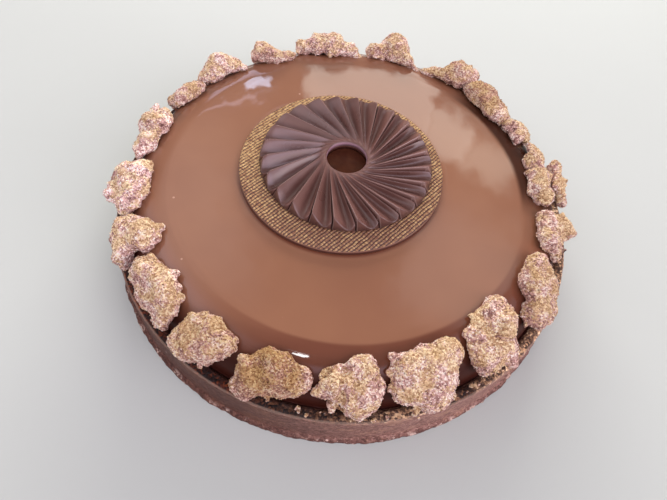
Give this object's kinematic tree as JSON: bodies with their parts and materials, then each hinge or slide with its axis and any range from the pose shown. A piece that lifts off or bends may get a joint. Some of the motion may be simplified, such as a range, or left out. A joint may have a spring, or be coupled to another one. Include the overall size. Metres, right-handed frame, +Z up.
{
  "type": "chocolate tart",
  "caption": "Round chocolate tart with a low crumbly crust, a domed milk chocolate glaze, a ring of gold-dusted crumble clusters and chocolate discs with a shared hole on top",
  "frame": {"origin": "the middle of the flat underside of the crust, on the surface the tart stands on", "axes": "+Z up out of the glazed top; +X to the right and +Y away from someone facing the tart, at right angles to Z; the side at -Y is the front"},
  "size_m": [0.21, 0.2099, 0.0432],
  "materials": {
    "crust": "baked cocoa pastry, rough and crumbly, with a pale flecked foot edge",
    "dark_chocolate": "set dark chocolate, smooth with a soft gloss",
    "milk_chocolate_glaze": "mirror glaze of milk chocolate, smooth and very glossy",
    "gold_dusted_chocolate": "thin dark chocolate disc with a fine woven texture, dusted with gold on top",
    "moulded_chocolate": "moulded chocolate with radial flutes, satin",
    "gilt_crumble": "clusters of coarse crumble, rough, dusted with gold"
  },
  "bodies": {
    "root": {"crust": "crust", "filling": "dark_chocolate", "glazed_dome": "milk_chocolate_glaze", "gold_disc": "gold_dusted_chocolate", "fluted_disc": "moulded_chocolate", "crumble_01": "gilt_crumble", "crumble_02": "gilt_crumble", "crumble_03": "gilt_crumble", "crumble_04": "gilt_crumble", "crumble_05": "gilt_crumble", "crumble_06": "gilt_crumble", "crumble_07": "gilt_crumble", "crumble_08": "gilt_crumble", "crumble_09": "gilt_crumble", "crumble_10": "gilt_crumble", "crumble_11": "gilt_crumble", "crumble_12": "gilt_crumble", "crumble_13": "gilt_crumble", "crumble_14": "gilt_crumble", "crumble_15": "gilt_crumble", "crumble_16": "gilt_crumble", "crumble_17": "gilt_crumble", "crumble_18": "gilt_crumble", "crumble_19": "gilt_crumble", "crumble_20": "gilt_crumble", "crumble_21": "gilt_crumble"}
  },
  "joints": []
}
